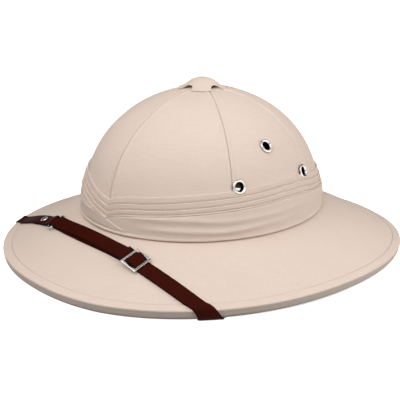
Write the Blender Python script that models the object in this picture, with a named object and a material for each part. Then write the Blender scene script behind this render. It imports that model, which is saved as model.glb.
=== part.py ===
"""Pith helmet: a moulded shell dressed in cloth, with a pleated band, a vent cap, eyelets and a chin strap.

Metres, +Z up. The hat stands on its rim on z = 0. Its front faces -Y, so the wearer's left is +X.
An angle round the hat is measured from the front towards the wearer's left.
A depth is measured inwards from the outer face of the cloth, and a lift outwards from it.
"""

import math

import bmesh
import bpy
import numpy as np
from mathutils import Matrix, Vector

MM = 0.001
COLUMNS = 48
TURN = np.radians(360 / COLUMNS)
FIRST_COLUMN = TURN / 2  # half a column off the centre line, so that one flat facet faces each way
CROWN_ROWS = 7
CROWN_ROW_LOW = 0.31  # rise of the lowest of these rows

# Crown, at the outer face of its cloth
CROWN_HALF_LENGTH = 107.8 * MM
CROWN_HALF_WIDTH = 95.6 * MM
CROWN_HEIGHT = 101.6 * MM
CROWN_PLAN_POWER = 1.91
CROWN_RISE_POWER = 2.30
CROWN_FRONT_FULLNESS = 0.12  # the crown is this much fuller at the front than that, and less so at the back
CROWN_BASE_Z = 38.4 * MM
CROWN_CENTRE_Y = -6.2 * MM
CROWN_TILT = math.radians(1.55)
VENT_HOLE_SHARE = 0.09  # radius of the hole at the top, as a share of the crown's half width

# Brim, at its outermost line
RIM_HALF_LENGTH = 181.2 * MM
RIM_HALF_WIDTH = 157.9 * MM
RIM_POWER = 2.16
RIM_SIDE_LIFT = 3.3 * MM  # the rim rises this far at the sides and stands flat at the front and back
RIM_LIFT_POWER = 0.75
RIM_FLAT_SHARE = 0.15
BRIM_SLOPE = math.radians(24.5)
BRIM_BULGE = 1.0 * MM

# Rolled edge of the brim: an arc above its outermost line, one below, and a flat strip to stand on
ROLL_UPPER = 3.5 * MM
ROLL_LOWER = 4.0 * MM
ROLL_FLAT_END = 8.0 * MM
BINDING_CREASE = 7.0 * MM
BINDING_UNDER_END = 9.5 * MM
BINDING_UNDER_UP = 2.3 * MM
BEAD_WIDTH = 9.5 * MM  # the shell is thick for this far up the brim, inside the rolled edge

# Walls and gaps
GAP = 0.3 * MM
CLOTH = 1.0 * MM
SHELL_DEPTH = CLOTH + GAP
SHELL_WALL = 2.7 * MM
SHELL_INNER = SHELL_DEPTH + SHELL_WALL
SHELL_INNER_ROWS = 5
SHELL_INNER_LOW = 0.28  # rise of the lowest of these rows
SEAM_GAP = 0.4 * MM
GORE_FOOT = 1.0 * MM
GORE_SEAM_COLUMNS = (0, 8, 15, 24, 32, 40)  # seams at 3.75, 63.75, 116.25, 183.75, 243.75 and 303.75 degrees

# Pleated band: its top edge goes low at the front, where its two ends cross, and high at the sides
BAND_GAP = 0.45 * MM
BAND_FOOT = 0.5 * MM
HEM_ROUND = 0.9 * MM
BAND_TOP = {  # angle in degrees: height of the top edge above the crown's base, in mm
    -180: 28.0, -133: 31.0, -90: 38.5, -60: 38.0, -31: 36.5, -18: 34.0, -11: 31.0, -5: 28.0, 3.5: 24.5,
    10: 28.0, 16: 29.8, 30: 32.3, 50: 35.7, 70: 37.6, 88: 39.0, 100: 38.3, 128: 32.0, 180: 28.0,
}
PLEAT_DROPS = (13.8 * MM, 10.0 * MM, 5.4 * MM)  # upper edges of the lower pleats, below the band's top edge
PLEAT_LIFTS = (3.0 * MM, 2.4 * MM, 1.8 * MM, 1.2 * MM)  # outer faces, from the plain part up to the top pleat
PLEAT_EDGE = 0.5 * MM
BAND_CROSSING = {  # angle in degrees: height of the overlapping end's upper edge above the base, in mm
    -6: 12.5, 1.5: 10.2, 7: 8.1, 12: 5.3, 15: 3.1, 22: 1.6,
}
# angle in degrees: how far that end stands out, in mm
BAND_CROSSING_LIFT = {-66: 0.0, -6: 0.8, 17: 0.8, 22: 0.0}
BAND_FINE_ANGLES = (-12, 23)  # the front stretch that gets columns between the common ones

# Vent cap, heights above the crown's base along the crown's axis
CAP_PROFILE = {  # radius: height of the outer face, in mm
    0: 109.8, 5.1: 109.2, 10.2: 107.1, 14.8: 103.7, 18.6: 101.1, 18.9: 100.4,
}
CAP_WALL = 1.8 * MM
CAP_ARCH_RADIUS = 6.4 * MM
CAP_ARCH_Z = 98.9 * MM
CAP_SIDES = 20

# Eyelets: three on each side of the crown, in a triangle
EYELET_ANGLE = math.radians(87.0)
EYELET_SPREAD = math.radians(20.3)
EYELET_LOW = 39.0 * MM
EYELET_HIGH = 64.0 * MM
EYELET_BORE = 3.3 * MM
EYELET_BARREL = 3.9 * MM
EYELET_FLANGE = 5.7 * MM
EYELET_HOLE = EYELET_BARREL + GAP
EYELET_OVER_BAND = 0.6 * MM  # the lower ones lie over the band's top edge, which is cut away under them
EYELET_SIDES = 12

# Chin strap, lying over the front of the brim and round its edge
STRAP_WIDTH = 11.8 * MM
STRAP_THICK = 1.1 * MM
STRAP_SKIVED = 0.7 * MM  # the leather is pared down where it is folded back
STRAP_MID_Y = -127.0 * MM
STRAP_HALF_LENGTH = 247.0 * MM
STRAP_PIN_INSET = 6.0 * MM
FOLD_GAP = 0.25 * MM
STRAP_UNDER = 0.35 * MM
STRAP_REST = STRAP_UNDER + STRAP_THICK / 2
STRAP_TOP = STRAP_REST + STRAP_THICK + FOLD_GAP
STRAP_SWAY = {  # distance along in mm: how far the strap lies towards the crown of its straight way, in mm
    -165: 0.0, -140: 0.2, -118: -0.9, -100: -0.7, -76: 0.0, -62: -0.4, -50: -0.6, -40: -0.6, -20: -0.9,
    0: -1.2, 40: -0.8, 74: -1.0, 94: -0.6, 114: 0.0, 130: 0.0, 170: 0.0,
}
# The same distance along: how far the strap stands off the brim's edge in mm, and the slant of its folds
STRAP_STIFFNESS = {112: 0.0, 138: 0.1, 141: 0.3, 146: 0.8, 152: 0.8, 165: 0.0}
STRAP_SKEW = {
    -180: 0.0, -156: 0.85, -118: 0.85, -95: 0.0, -68: 0.0, -60: 0.2, -41: 0.2, -34: 0.0, 95: 0.0, 118: 0.85,
    156: 0.85, 180: 0.0,
}

# Slider and ring, at distances along the strap from the middle of the front
BUCKLE_AT = 57.8 * MM
BUCKLE_HALF_LENGTH = 7.8 * MM
BUCKLE_HALF_WIDTH = 8.6 * MM
BUCKLE_BAR = 1.9 * MM
BUCKLE_BRIDGE = 1.5 * MM
BUCKLE_THICK = 1.0 * MM
BUCKLE_LIFT = 3.5 * MM
BUCKLE_TILT = math.radians(9.0)
RING_AT = -50.5 * MM
RING_TURN = math.atan(0.2)  # it lies a little aslant, and so do the folds round it
RING_HALF_GAP = 2.9 * MM
RING_HALF_SPAN = 8.6 * MM
RING_CORNER = 1.5 * MM
RING_WIRE = 0.95 * MM
RING_LIFT = STRAP_REST + STRAP_THICK / 2 + FOLD_GAP + RING_WIRE
RIVET_AT = -72.0 * MM
RIVET_HEAD = 3.0 * MM
RIVET_SHANK = 1.2 * MM
PIN_HEAD = 4.0 * MM
PIN_SHANK = 1.5 * MM
PIN_DEPTH = 1.9 * MM

CLOTH_COLOUR = (0.70, 0.58, 0.48, 1)
PITH_COLOUR = (0.62, 0.50, 0.36, 1)
LEATHER_COLOUR = (0.050, 0.012, 0.010, 1)
NICKEL_COLOUR = (0.72, 0.71, 0.69, 1)


# ---------------------------------------------------------------- materials and meshes


def material(name, colour, roughness, metallic=0.0):
    made = bpy.data.materials.new(name)
    made.use_nodes = True
    made.diffuse_color = colour
    shader = made.node_tree.nodes["Principled BSDF"]
    shader.inputs["Base Color"].default_value = colour
    shader.inputs["Roughness"].default_value = roughness
    shader.inputs["Metallic"].default_value = metallic
    return made


def add_object(name, mesh, finish, parent):
    part = bpy.data.objects.new(name, mesh)
    mesh.materials.append(finish)
    bpy.context.scene.collection.objects.link(part)
    part.parent = parent
    return part


def finish_mesh(name, shape, sharp=35):
    bmesh.ops.recalc_face_normals(shape, faces=shape.faces)
    mesh = bpy.data.meshes.new(name)
    shape.to_mesh(mesh)
    shape.free()
    mesh.shade_smooth()
    mesh.set_sharp_from_angle(angle=math.radians(sharp))
    return mesh


def loft(name, sections, closed):
    """Joins closed sections of equal length into one solid, with strips across the ends of an open run."""
    shape = bmesh.new()
    rings = [[shape.verts.new(point) for point in section] for section in sections]
    count = len(rings[0])
    for here, there in zip(rings, rings[1:] + rings[:1] if closed else rings[1:]):
        for i in range(count):
            j = (i + 1) % count
            shape.faces.new((here[i], here[j], there[j], there[i]))
    if not closed:
        for ring in (rings[0], rings[-1]):
            for i in range(count // 2 - 1):
                shape.faces.new((ring[i], ring[i + 1], ring[-2 - i], ring[-1 - i]))
    return finish_mesh(name, shape)


def turned(name, profile, sides):
    """Spins a closed profile of (radius, height) about Z. A point on the axis closes the shape there."""
    shape = bmesh.new()
    start = [shape.verts.new((radius, 0, height)) for radius, height in profile]
    for here, there in zip(start, start[1:] + start[:1]):
        if here.co.x > 0 or there.co.x > 0:
            shape.edges.new((here, there))
    bmesh.ops.spin(shape, geom=shape.verts[:] + shape.edges[:], cent=(0, 0, 0), axis=(0, 0, 1),
                   angle=math.tau, steps=sides, use_merge=True, use_duplicate=False)
    bmesh.ops.remove_doubles(shape, verts=shape.verts, dist=0.001 * MM)
    return finish_mesh(name, shape)


def cutter(name, mesh, parent):
    tool = bpy.data.objects.new(name, mesh)
    bpy.context.scene.collection.objects.link(tool)
    tool.parent = parent
    tool.hide_render = True
    tool.display_type = "WIRE"
    return tool


def cut(part, tool):
    boolean = part.modifiers.new(tool.name, "BOOLEAN")
    boolean.operation = "DIFFERENCE"
    boolean.solver = "EXACT"
    boolean.object = tool


def rods(name, places, radius, low, high, sides, parent):
    """One cutter of round rods, each along its place's own Z from low to high."""
    shape = bmesh.new()
    for place in places:
        move = place @ Matrix.Translation((0, 0, (low + high) / 2))
        bmesh.ops.create_cone(shape, cap_ends=True, segments=sides, radius1=radius, radius2=radius,
                              depth=high - low, matrix=move)
    return cutter(name, finish_mesh(name, shape), parent)


# ---------------------------------------------------------------- the helmet's surfaces


def column_angle(column):
    return FIRST_COLUMN + column * TURN


def crown_point(angle, rise, lift=0.0):
    """A point of the crown, for a rise from 0 at its base to 1 at its top."""
    power = CROWN_RISE_POWER + CROWN_FRONT_FULLNESS * math.cos(angle)
    ring = (1 - rise**power) ** (1 / CROWN_PLAN_POWER)
    x = (CROWN_HALF_WIDTH + lift) * ring * math.sin(angle)
    y = -(CROWN_HALF_LENGTH + lift) * ring * math.cos(angle)
    z = (CROWN_HEIGHT + lift) * rise
    return crown_seat() @ Vector((x, y, z))


def crown_seat():
    return Matrix.Translation((0, CROWN_CENTRE_Y, CROWN_BASE_Z)) @ Matrix.Rotation(CROWN_TILT, 4, "X")


def crown_top_rise():
    return (1 - VENT_HOLE_SHARE**CROWN_PLAN_POWER) ** (1 / CROWN_RISE_POWER)


def crown_rises(count, foot):
    """Rises from the foot up to the vent hole, in steps of nearly equal arc."""
    top = math.asin(crown_top_rise())
    return [math.sin(arc) for arc in np.linspace(math.asin(foot), top, count)]


def crown_frame(angle, rise):
    """A place on the crown's cloth, with Z along its outward normal."""
    step = 0.001
    here = crown_point(angle, rise)
    across = crown_point(angle + step, rise) - here
    up = crown_point(angle, rise + step) - here
    return frame_at(here, across, across.cross(up))


def frame_at(origin, along, normal):
    z = normal.normalized()
    x = (along - along.dot(z) * z).normalized()
    turn = Matrix((x, z.cross(x), z)).transposed()
    return Matrix.Translation(origin) @ turn.to_4x4()


def rim_lift(angle):
    share = (math.sin(angle) ** 2 - RIM_FLAT_SHARE) / (1 - RIM_FLAT_SHARE)
    return RIM_SIDE_LIFT * max(share, 0) ** RIM_LIFT_POWER


def rim_point(angle, inset, up):
    """A point at a distance inside the brim's outermost line and above the rim's underside."""
    power = 2 / RIM_POWER
    side = math.copysign(abs(math.sin(angle)) ** power, math.sin(angle))
    back = math.copysign(abs(math.cos(angle)) ** power, math.cos(angle))
    return Vector(((RIM_HALF_WIDTH - inset) * side, -(RIM_HALF_LENGTH - inset) * back, rim_lift(angle) + up))


def roll_points(angle, depth, upper_steps, lower_steps):
    """The rolled edge from where the brim's slope runs into it, round to its underside."""
    points = []
    for tilt in np.linspace(math.pi / 2 - BRIM_SLOPE, 0, upper_steps + 1):
        radius = ROLL_UPPER - depth
        points.append((ROLL_UPPER - radius * math.cos(tilt), ROLL_LOWER + radius * math.sin(tilt)))
    for tilt in np.linspace(0, -math.pi / 2, lower_steps + 1)[1:]:
        radius = ROLL_LOWER - depth
        points.append((ROLL_LOWER - radius * math.cos(tilt), ROLL_LOWER + radius * math.sin(tilt)))
    return [rim_point(angle, inset, up) for inset, up in points]


class BrimLine:
    """The brim's section at one angle: a line from the crown's base to the roll, with a slight bulge."""

    def __init__(self, angle):
        self.start = crown_point(angle, 0)
        end = roll_points(angle, 0, 1, 1)[0]
        self.length = (end - self.start).length
        self.along = (end - self.start).normalized()
        outward = Vector((self.along.x, self.along.y, 0)).normalized()
        self.slope = math.atan2(-self.along.z, self.along.dot(outward))
        self.normal = outward * math.sin(self.slope) + Vector((0, 0, math.cos(self.slope)))

    def at(self, distance, depth):
        share = min(max(distance / self.length, 0), 1)
        bulge = 4 * BRIM_BULGE * share * (1 - share)
        return self.start + self.along * distance + self.normal * (bulge - depth)

    def meets_crown(self, depth):
        """How far along a face at this depth meets the crown's wall at the same depth."""
        return depth * (math.sin(self.slope) - 1) / math.cos(self.slope)

    def crease(self):
        return self.length - (BINDING_CREASE - ROLL_UPPER * (1 - math.sin(BRIM_SLOPE))) / math.cos(self.slope)


# ---------------------------------------------------------------- shell, cloth and binding


def shell_section(angle):
    brim = BrimLine(angle)
    rises = reversed(crown_rises(CROWN_ROWS, CROWN_ROW_LOW))
    outer = [crown_point(angle, rise, -SHELL_DEPTH) for rise in rises]
    outer.append(brim.at(brim.meets_crown(SHELL_DEPTH), SHELL_DEPTH))
    outer.append(brim.at(brim.length / 2, SHELL_DEPTH))
    edge = roll_points(angle, SHELL_DEPTH, 1, 2)
    edge.append(rim_point(angle, ROLL_FLAT_END - 2 * GAP, SHELL_DEPTH))
    inner = [brim.at(brim.length - BEAD_WIDTH, SHELL_INNER), brim.at(brim.length / 2, SHELL_INNER)]
    inner.append(brim.at(brim.meets_crown(SHELL_INNER), SHELL_INNER))
    inner_rises = crown_rises(SHELL_INNER_ROWS, SHELL_INNER_LOW)
    inner += [crown_point(angle, rise, -SHELL_INNER) for rise in inner_rises]
    return outer + edge + inner


def make_shell(finish, parent):
    mesh = loft("shell", [shell_section(column_angle(k)) for k in range(COLUMNS)], closed=True)
    return add_object("shell", mesh, finish, parent)


def gore_section(angle):
    foot = GORE_FOOT / CROWN_HEIGHT
    rises = [foot] + crown_rises(CROWN_ROWS, CROWN_ROW_LOW)
    outer = [crown_point(angle, rise) for rise in rises]
    inner = [crown_point(angle, rise, -CLOTH) for rise in reversed(rises)]
    return outer + inner


def seam_section(column, towards):
    """The gore's edge: half the seam's gap in from the seam, on the facet beside it."""
    seam = gore_section(column_angle(column))
    beside = gore_section(column_angle(column + towards))
    return [a + (b - a).normalized() * SEAM_GAP / 2 for a, b in zip(seam, beside)]


def make_gores(finish, parent):
    gores = []
    ends = GORE_SEAM_COLUMNS[1:] + (GORE_SEAM_COLUMNS[0] + COLUMNS,)
    for number, (first, last) in enumerate(zip(GORE_SEAM_COLUMNS, ends), start=1):
        sections = [seam_section(first, 1)]
        sections += [gore_section(column_angle(k)) for k in range(first + 1, last)]
        sections.append(seam_section(last, -1))
        name = f"crown_gore_{number}"
        gores.append(add_object(name, loft(name, sections, closed=False), finish, parent))
    return gores


def cover_section(angle):
    brim = BrimLine(angle)
    runs = (brim.meets_crown(CLOTH), brim.length / 2, brim.crease() - GAP / 2)
    return [brim.at(run, 0) for run in runs] + [brim.at(run, CLOTH) for run in reversed(runs)]


def binding_section(angle):
    brim = BrimLine(angle)
    outer = [brim.at(brim.crease() + GAP / 2, 0)] + roll_points(angle, 0, 2, 3)
    outer.append(rim_point(angle, ROLL_FLAT_END, 0))
    outer.append(rim_point(angle, BINDING_UNDER_END, BINDING_UNDER_UP))
    inner = [rim_point(angle, BINDING_UNDER_END - 0.6 * MM, BINDING_UNDER_UP + 0.8 * MM)]
    inner.append(rim_point(angle, ROLL_FLAT_END - GAP, CLOTH))
    inner += reversed(roll_points(angle, CLOTH, 1, 2))
    inner.append(brim.at(brim.crease() + GAP / 2, CLOTH))
    return outer + inner


def make_ring(name, section, finish, parent):
    mesh = loft(name, [section(column_angle(k)) for k in range(COLUMNS)], closed=True)
    return add_object(name, mesh, finish, parent)


# ---------------------------------------------------------------- pleated band


def table_value(table, angle):
    degrees = (math.degrees(angle) + 180) % 360 - 180
    return float(np.interp(degrees, list(table), list(table.values()))) * MM


def band_section(angle):
    top = table_value(BAND_TOP, angle)
    crossing = table_value(BAND_CROSSING, angle)
    over = table_value(BAND_CROSSING_LIFT, angle)
    plain = PLEAT_LIFTS[0]
    rows = [(BAND_FOOT, plain - HEM_ROUND)]
    rows += [(crossing - PLEAT_EDGE, plain + over), (crossing + PLEAT_EDGE, plain)]
    for drop, low, high in zip(PLEAT_DROPS, PLEAT_LIFTS, PLEAT_LIFTS[1:]):
        rows += [(top - drop, low), (top - drop + PLEAT_EDGE, high)]
    rows.append((top - PLEAT_EDGE, PLEAT_LIFTS[-1]))
    outer = [crown_point(angle, height / CROWN_HEIGHT, BAND_GAP + lift) for height, lift in rows]
    inner = [crown_point(angle, height / CROWN_HEIGHT, BAND_GAP) for height in np.linspace(top, BAND_FOOT, 4)]
    return outer + inner


def band_angles():
    angles = [column_angle(k) for k in range(-COLUMNS // 2, COLUMNS // 2)]
    low, high = np.radians(BAND_FINE_ANGLES)
    return sorted(angles + [angle + TURN / 2 for angle in angles if low <= angle <= high])


def make_band(finish, parent):
    mesh = loft("puggaree", [band_section(angle) for angle in band_angles()], closed=True)
    return add_object("puggaree", mesh, finish, parent)


# ---------------------------------------------------------------- vent cap and eyelets


def make_cap(finish, parent):
    outer = [(radius * MM, height * MM) for radius, height in CAP_PROFILE.items()]
    inner = [(0, outer[0][1] - CAP_WALL)]
    for (r0, z0), (r1, z1) in zip(outer[:-2], outer[2:]):
        run = Vector((r1 - r0, z1 - z0)).normalized()
        middle = outer[outer.index((r0, z0)) + 1]
        inner.append((middle[0] + run.y * CAP_WALL, middle[1] - run.x * CAP_WALL))
    inner[-1] = (outer[-1][0] - CAP_WALL, outer[-1][1])
    cap = add_object("vent_cap", turned("vent_cap", outer + inner[::-1], CAP_SIDES), finish, parent)
    cap.matrix_world = crown_seat()
    level = Matrix.Translation((0, 0, CAP_ARCH_Z))
    places = [crown_seat() @ level @ Matrix.Rotation(math.pi / 2, 4, axis) for axis in "XY"]
    reach = CROWN_HALF_WIDTH / 2
    for place, name in zip(places, ("arches_front_back", "arches_sides")):
        cut(cap, rods(name, [place], CAP_ARCH_RADIUS, -reach, reach, 16, parent))
    return cap


def eyelet_places():
    low = (EYELET_LOW, EYELET_OVER_BAND)
    spots = {"front": (-1, *low), "top": (0, EYELET_HIGH, 0), "back": (1, *low)}
    places = {}
    for side, sign in (("left", 1), ("right", -1)):
        for spot, (turn, height, lift) in spots.items():
            place = crown_frame(sign * (EYELET_ANGLE + turn * EYELET_SPREAD), height / CROWN_HEIGHT)
            places[f"eyelet_{side}_{spot}"] = place @ Matrix.Translation((0, 0, lift))
    return places


def make_eyelets(finish, parent):
    end = -(SHELL_INNER + 0.6 * MM)
    profile = [
        (EYELET_BORE, end), (EYELET_BARREL, end), (EYELET_BARREL, GAP), (EYELET_FLANGE, GAP),
        (EYELET_FLANGE - 0.2 * MM, 1.1 * MM), (4.7 * MM, 1.7 * MM), (EYELET_BORE + 0.2 * MM, 1.0 * MM),
    ]
    for name, place in eyelet_places().items():
        part = add_object(name, turned(name, profile, EYELET_SIDES), finish, parent)
        part.matrix_world = place


# ---------------------------------------------------------------- the strap's way over the brim


class BrimSkin:
    """The brim's outer face, from the crown's base over the roll, and under it to the crown's mouth."""

    STEP = math.radians(2.5)
    TOP_ROWS = 12
    BRIDGED = 30 * MM  # a taut strap leaves the roll's underside and meets the brim's underside this far in

    def __init__(self):
        columns = int(math.radians(120) / self.STEP)
        self.lines = np.array([self.line(column * self.STEP) for column in range(columns)])

    def line(self, angle):
        brim = BrimLine(angle)
        points = [brim.at(run, 0) for run in np.linspace(0, brim.length, self.TOP_ROWS)[:-1]]
        points += roll_points(angle, 0, 5, 6)
        points.append(rim_point(angle, ROLL_FLAT_END, 0))
        runs = np.linspace(brim.length - self.BRIDGED, brim.meets_crown(SHELL_INNER), 7)
        return points + [brim.at(run, SHELL_INNER) for run in runs]

    def at(self, place):
        """The point, the two surface directions and the outward normal at (angle, index along the line)."""
        column, row = place[0] / self.STEP, place[1]
        i = min(max(int(column), 0), len(self.lines) - 2)
        j = min(max(int(row), 0), self.lines.shape[1] - 2)
        s, t = column - i, row - j
        near, far = self.lines[i], self.lines[i + 1]
        point = (near[j] * (1 - t) + near[j + 1] * t) * (1 - s) + (far[j] * (1 - t) + far[j + 1] * t) * s
        by_angle = ((far[j] - near[j]) * (1 - t) + (far[j + 1] - near[j + 1]) * t) / self.STEP
        by_row = (near[j + 1] - near[j]) * (1 - s) + (far[j + 1] - far[j]) * s
        normal = np.cross(by_row, by_angle)
        return point, by_angle, by_row, normal / np.linalg.norm(normal)

    def walk(self, place, heading, distance, step=0.4 * MM):
        """Goes straight ahead over the surface, as a taut strap does, and gives the new place and heading."""
        for _ in range(max(int(round(distance / step)), 1)):
            _, by_angle, by_row, normal = self.at(place)
            heading = heading - normal * heading.dot(normal)
            heading = heading / np.linalg.norm(heading)
            moves = np.linalg.lstsq(np.column_stack((by_angle, by_row)), heading * step, rcond=None)[0]
            place = (place[0] + moves[0], place[1] + moves[1])
        return place, heading


class StrapWay:
    """The strap's straight way over the brim's skin, from the middle of the front to one end."""

    STEP = 0.8 * MM

    def __init__(self, skin):
        self.rows = []
        ys = skin.lines[0, :skin.TOP_ROWS, 1]
        place = (0.0, float(np.interp(STRAP_MID_Y, ys[::-1], np.arange(skin.TOP_ROWS)[::-1])))
        heading = np.array((1.0, 0.0, 0.0))
        for _ in range(int(STRAP_HALF_LENGTH / self.STEP) + 12):
            point, _, _, normal = skin.at(place)
            back = np.cross(normal, heading)
            sides = [(point, normal)]
            for sign in (1, -1):
                edge, _ = skin.walk(place, sign * back, STRAP_WIDTH / 2)
                edge_point, _, _, edge_normal = skin.at(edge)
                sides.append((edge_point, edge_normal))
            self.rows.append(sides)
            place, heading = skin.walk(place, heading, self.STEP)

    def at(self, along, lift, across=0.0):
        """A point at a distance along the strap, lifted off the brim, and across it towards the crown."""
        across += strap_value(STRAP_SWAY, along)
        position = (abs(along) + strap_value(STRAP_SKEW, along) / MM * across) / self.STEP
        position = min(max(position, 0), len(self.rows) - 1.001)
        k = int(position)
        edge = 1 if across >= 0 else 2
        spread = abs(across) / (STRAP_WIDTH / 2)
        found = Vector((0, 0, 0))
        for row, weight in ((self.rows[k], 1 - position + k), (self.rows[k + 1], position - k)):
            middle = Vector(row[0][0] + row[0][1] * lift)
            side = Vector(row[edge][0] + row[edge][1] * lift)
            found += middle.lerp(side, spread) * weight
        return found if along >= 0 else Vector((-found.x, found.y, found.z))

    def frame(self, along, lift):
        """A place on the strap, with X along it towards the wearer's left and Z outwards."""
        reach = 3 * MM
        ahead = self.at(along + reach, lift) - self.at(along - reach, lift)
        back = self.at(along, lift, STRAP_WIDTH / 2) - self.at(along, lift, -STRAP_WIDTH / 2)
        return frame_at(self.at(along, lift), ahead, ahead.cross(back))


def strap_value(table, along):
    return float(np.interp(along / MM, list(table), list(table.values()))) * MM


# ---------------------------------------------------------------- strap, slider, ring, rivet and pins


def wrap_points(centre, lift, radius, start, end, thick):
    """The strap's turn round a bar: stations from one angle to the other about the bar's centre."""
    angles = np.radians(np.linspace(start, end, 5))
    return [(centre + radius * math.cos(a), lift + radius * math.sin(a), 0.0, thick) for a in angles]


def even_stations(start, end, lift):
    """Stations along a plain stretch, close together where the strap turns round the brim's edge."""
    edge_low, edge_high = 117 * MM, 158 * MM
    stations = [start]
    while abs(stations[-1] - end) > 9 * MM:
        there = abs(stations[-1])
        step = 15 * MM if there > edge_high + 8 * MM else 9 * MM
        if edge_low < there < edge_high:
            step = 2.6 * MM
        stations.append(stations[-1] + math.copysign(step, end - start))
    return [(along, lift + strap_value(STRAP_STIFFNESS, abs(along)), 0.0, STRAP_THICK) for along in stations]


def ribbon(name, way, stations):
    """A strap of rectangular section through stations of (along, lift, shift across, thickness)."""
    sections = []
    for k, (along, lift, shift, thick) in enumerate(stations):
        before = stations[max(k - 1, 0)]
        after = stations[min(k + 1, len(stations) - 1)]
        run = Vector((after[0] - before[0], after[1] - before[1])).normalized()
        offset = Vector((-run.y, run.x)) * thick / 2
        section = []
        for sign, sides in ((1, (-1, 0, 1)), (-1, (1, 0, -1))):
            for side in sides:
                across = shift + side * STRAP_WIDTH / 2
                section.append(way.at(along + sign * offset.x, lift + sign * offset.y, across))
        sections.append(section)
    return loft(name, sections, closed=False)


def long_strap_stations():
    """From the left pin over the brim, through the slider, round the ring and back to the slider."""
    stations = even_stations(STRAP_HALF_LENGTH, BUCKLE_AT + 14 * MM, STRAP_REST)
    # under the near bar, over the bridge and under the far bar: distance from the bridge and lift, in mm
    crossing = {
        12: 0.9, 6.6: 0.9, 5.2: 2.1, 3.3: 4.2, 2.0: 5.4, 0.2: 6.0, -1.7: 5.7, -3.6: 4.5, -5.2: 3.5,
        -6.8: 3.15, -8.2: 3.15, -13.5: 3.15, -18: 3.15, -22: 2.75, -26: 2.35,
    }
    stations += [(BUCKLE_AT + run * MM, lift * MM, 0.0, STRAP_THICK) for run, lift in crossing.items()]
    stations += [(along * MM, STRAP_TOP, 0.0, STRAP_THICK) for along in (24, 8, -8, -22, -33)]
    stations.append((-40 * MM, STRAP_TOP + 0.7 * MM, 0.0, STRAP_THICK))
    stations.append((-44 * MM, STRAP_TOP + 1.8 * MM, 0.0, STRAP_THICK))
    ring_turn = RING_WIRE + FOLD_GAP + STRAP_THICK / 2
    stations += wrap_points(RING_AT + RING_HALF_GAP, RING_LIFT, ring_turn, 90, 270, STRAP_THICK)
    # back under the first layer, a little towards the rim, and folded over the bridge
    shifts = {-38: -0.6, -30: -1.5, -16: -1.9, 0: -1.9, 16: -1.5, 30: -0.6, 44: 0.0}
    stations += [(along * MM, STRAP_REST, shift * MM, STRAP_THICK) for along, shift in shifts.items()]
    stations.append((BUCKLE_AT - 5.5 * MM, 1.3 * MM, 0.0, STRAP_THICK * 0.8))
    bridge_turn = BUCKLE_THICK / 2 + FOLD_GAP + STRAP_SKIVED / 2 + 0.25 * MM
    stations += wrap_points(BUCKLE_AT + 0.3 * MM, BUCKLE_LIFT, bridge_turn, -90, 90, STRAP_SKIVED)
    # the end lies between the two layers and shows beyond them: distance from the bridge, lift and shift
    tail = {
        -1.1: (4.65, 0.1), -2.9: (3.45, 0.2), -4.5: (2.5, 0.5), -7.2: (2.05, 1.0), -12: (2.05, 1.8),
        -17: (2.05, 2.4),
    }
    for run, (lift, shift) in tail.items():
        stations.append((BUCKLE_AT + run * MM, lift * MM, shift * MM, STRAP_SKIVED))
    return stations


def short_strap_stations():
    """From the pin under the wearer's right side, over the brim, round the ring and back under the rivet."""
    raised = STRAP_UNDER + STRAP_SKIVED + FOLD_GAP + STRAP_THICK / 2
    stations = even_stations(-STRAP_HALF_LENGTH, -98 * MM, STRAP_REST)
    stations += [(along * MM, raised, 0.0, STRAP_THICK) for along in (-90, -78, -70, -64)]
    stations.append((-58.5 * MM, raised + 1.6 * MM, 0.0, STRAP_THICK))
    ring_turn = RING_WIRE + FOLD_GAP + STRAP_THICK / 2
    bar = RING_AT - RING_HALF_GAP
    stations += wrap_points(bar, RING_LIFT, ring_turn, 90, -90, STRAP_THICK)[:-1]
    stations.append((bar, RING_LIFT - RING_WIRE - FOLD_GAP - STRAP_SKIVED / 2, 0.0, STRAP_SKIVED))
    low = STRAP_UNDER + STRAP_SKIVED / 2
    stations += [(along * MM, low, 0.0, STRAP_SKIVED) for along in (-59, -66, -76, -85)]
    return stations


def make_buckle(way, finish, parent):
    """A flat square slider with a bridge across its middle, cut out of one plate."""
    end, side, bridge = BUCKLE_HALF_LENGTH, BUCKLE_HALF_WIDTH, BUCKLE_BRIDGE / 2
    xs = (-end, BUCKLE_BAR - end, -bridge, bridge, end - BUCKLE_BAR, end)
    ys = (-side, BUCKLE_BAR - side, side - BUCKLE_BAR, side)
    windows = {(1, 1), (3, 1)}
    shape = bmesh.new()
    for i in range(len(xs) - 1):
        for j in range(len(ys) - 1):
            if (i, j) not in windows:
                corners = ((xs[i], ys[j]), (xs[i + 1], ys[j]), (xs[i + 1], ys[j + 1]), (xs[i], ys[j + 1]))
                shape.faces.new([shape.verts.new((x, y, -BUCKLE_THICK / 2)) for x, y in corners])
    bmesh.ops.remove_doubles(shape, verts=shape.verts, dist=0.001 * MM)
    plate = bmesh.ops.extrude_face_region(shape, geom=shape.faces[:])
    raised = [item for item in plate["geom"] if isinstance(item, bmesh.types.BMVert)]
    bmesh.ops.translate(shape, verts=raised, vec=(0, 0, BUCKLE_THICK))
    buckle = add_object("strap_buckle", finish_mesh("strap_buckle", shape), finish, parent)
    bevel = buckle.modifiers.new("rounded edges", "BEVEL")
    bevel.width = 0.3 * MM
    bevel.segments = 1
    bevel.limit_method = "ANGLE"
    buckle.matrix_world = way.frame(BUCKLE_AT, BUCKLE_LIFT) @ Matrix.Rotation(BUCKLE_TILT, 4, "Y")
    return buckle


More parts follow.
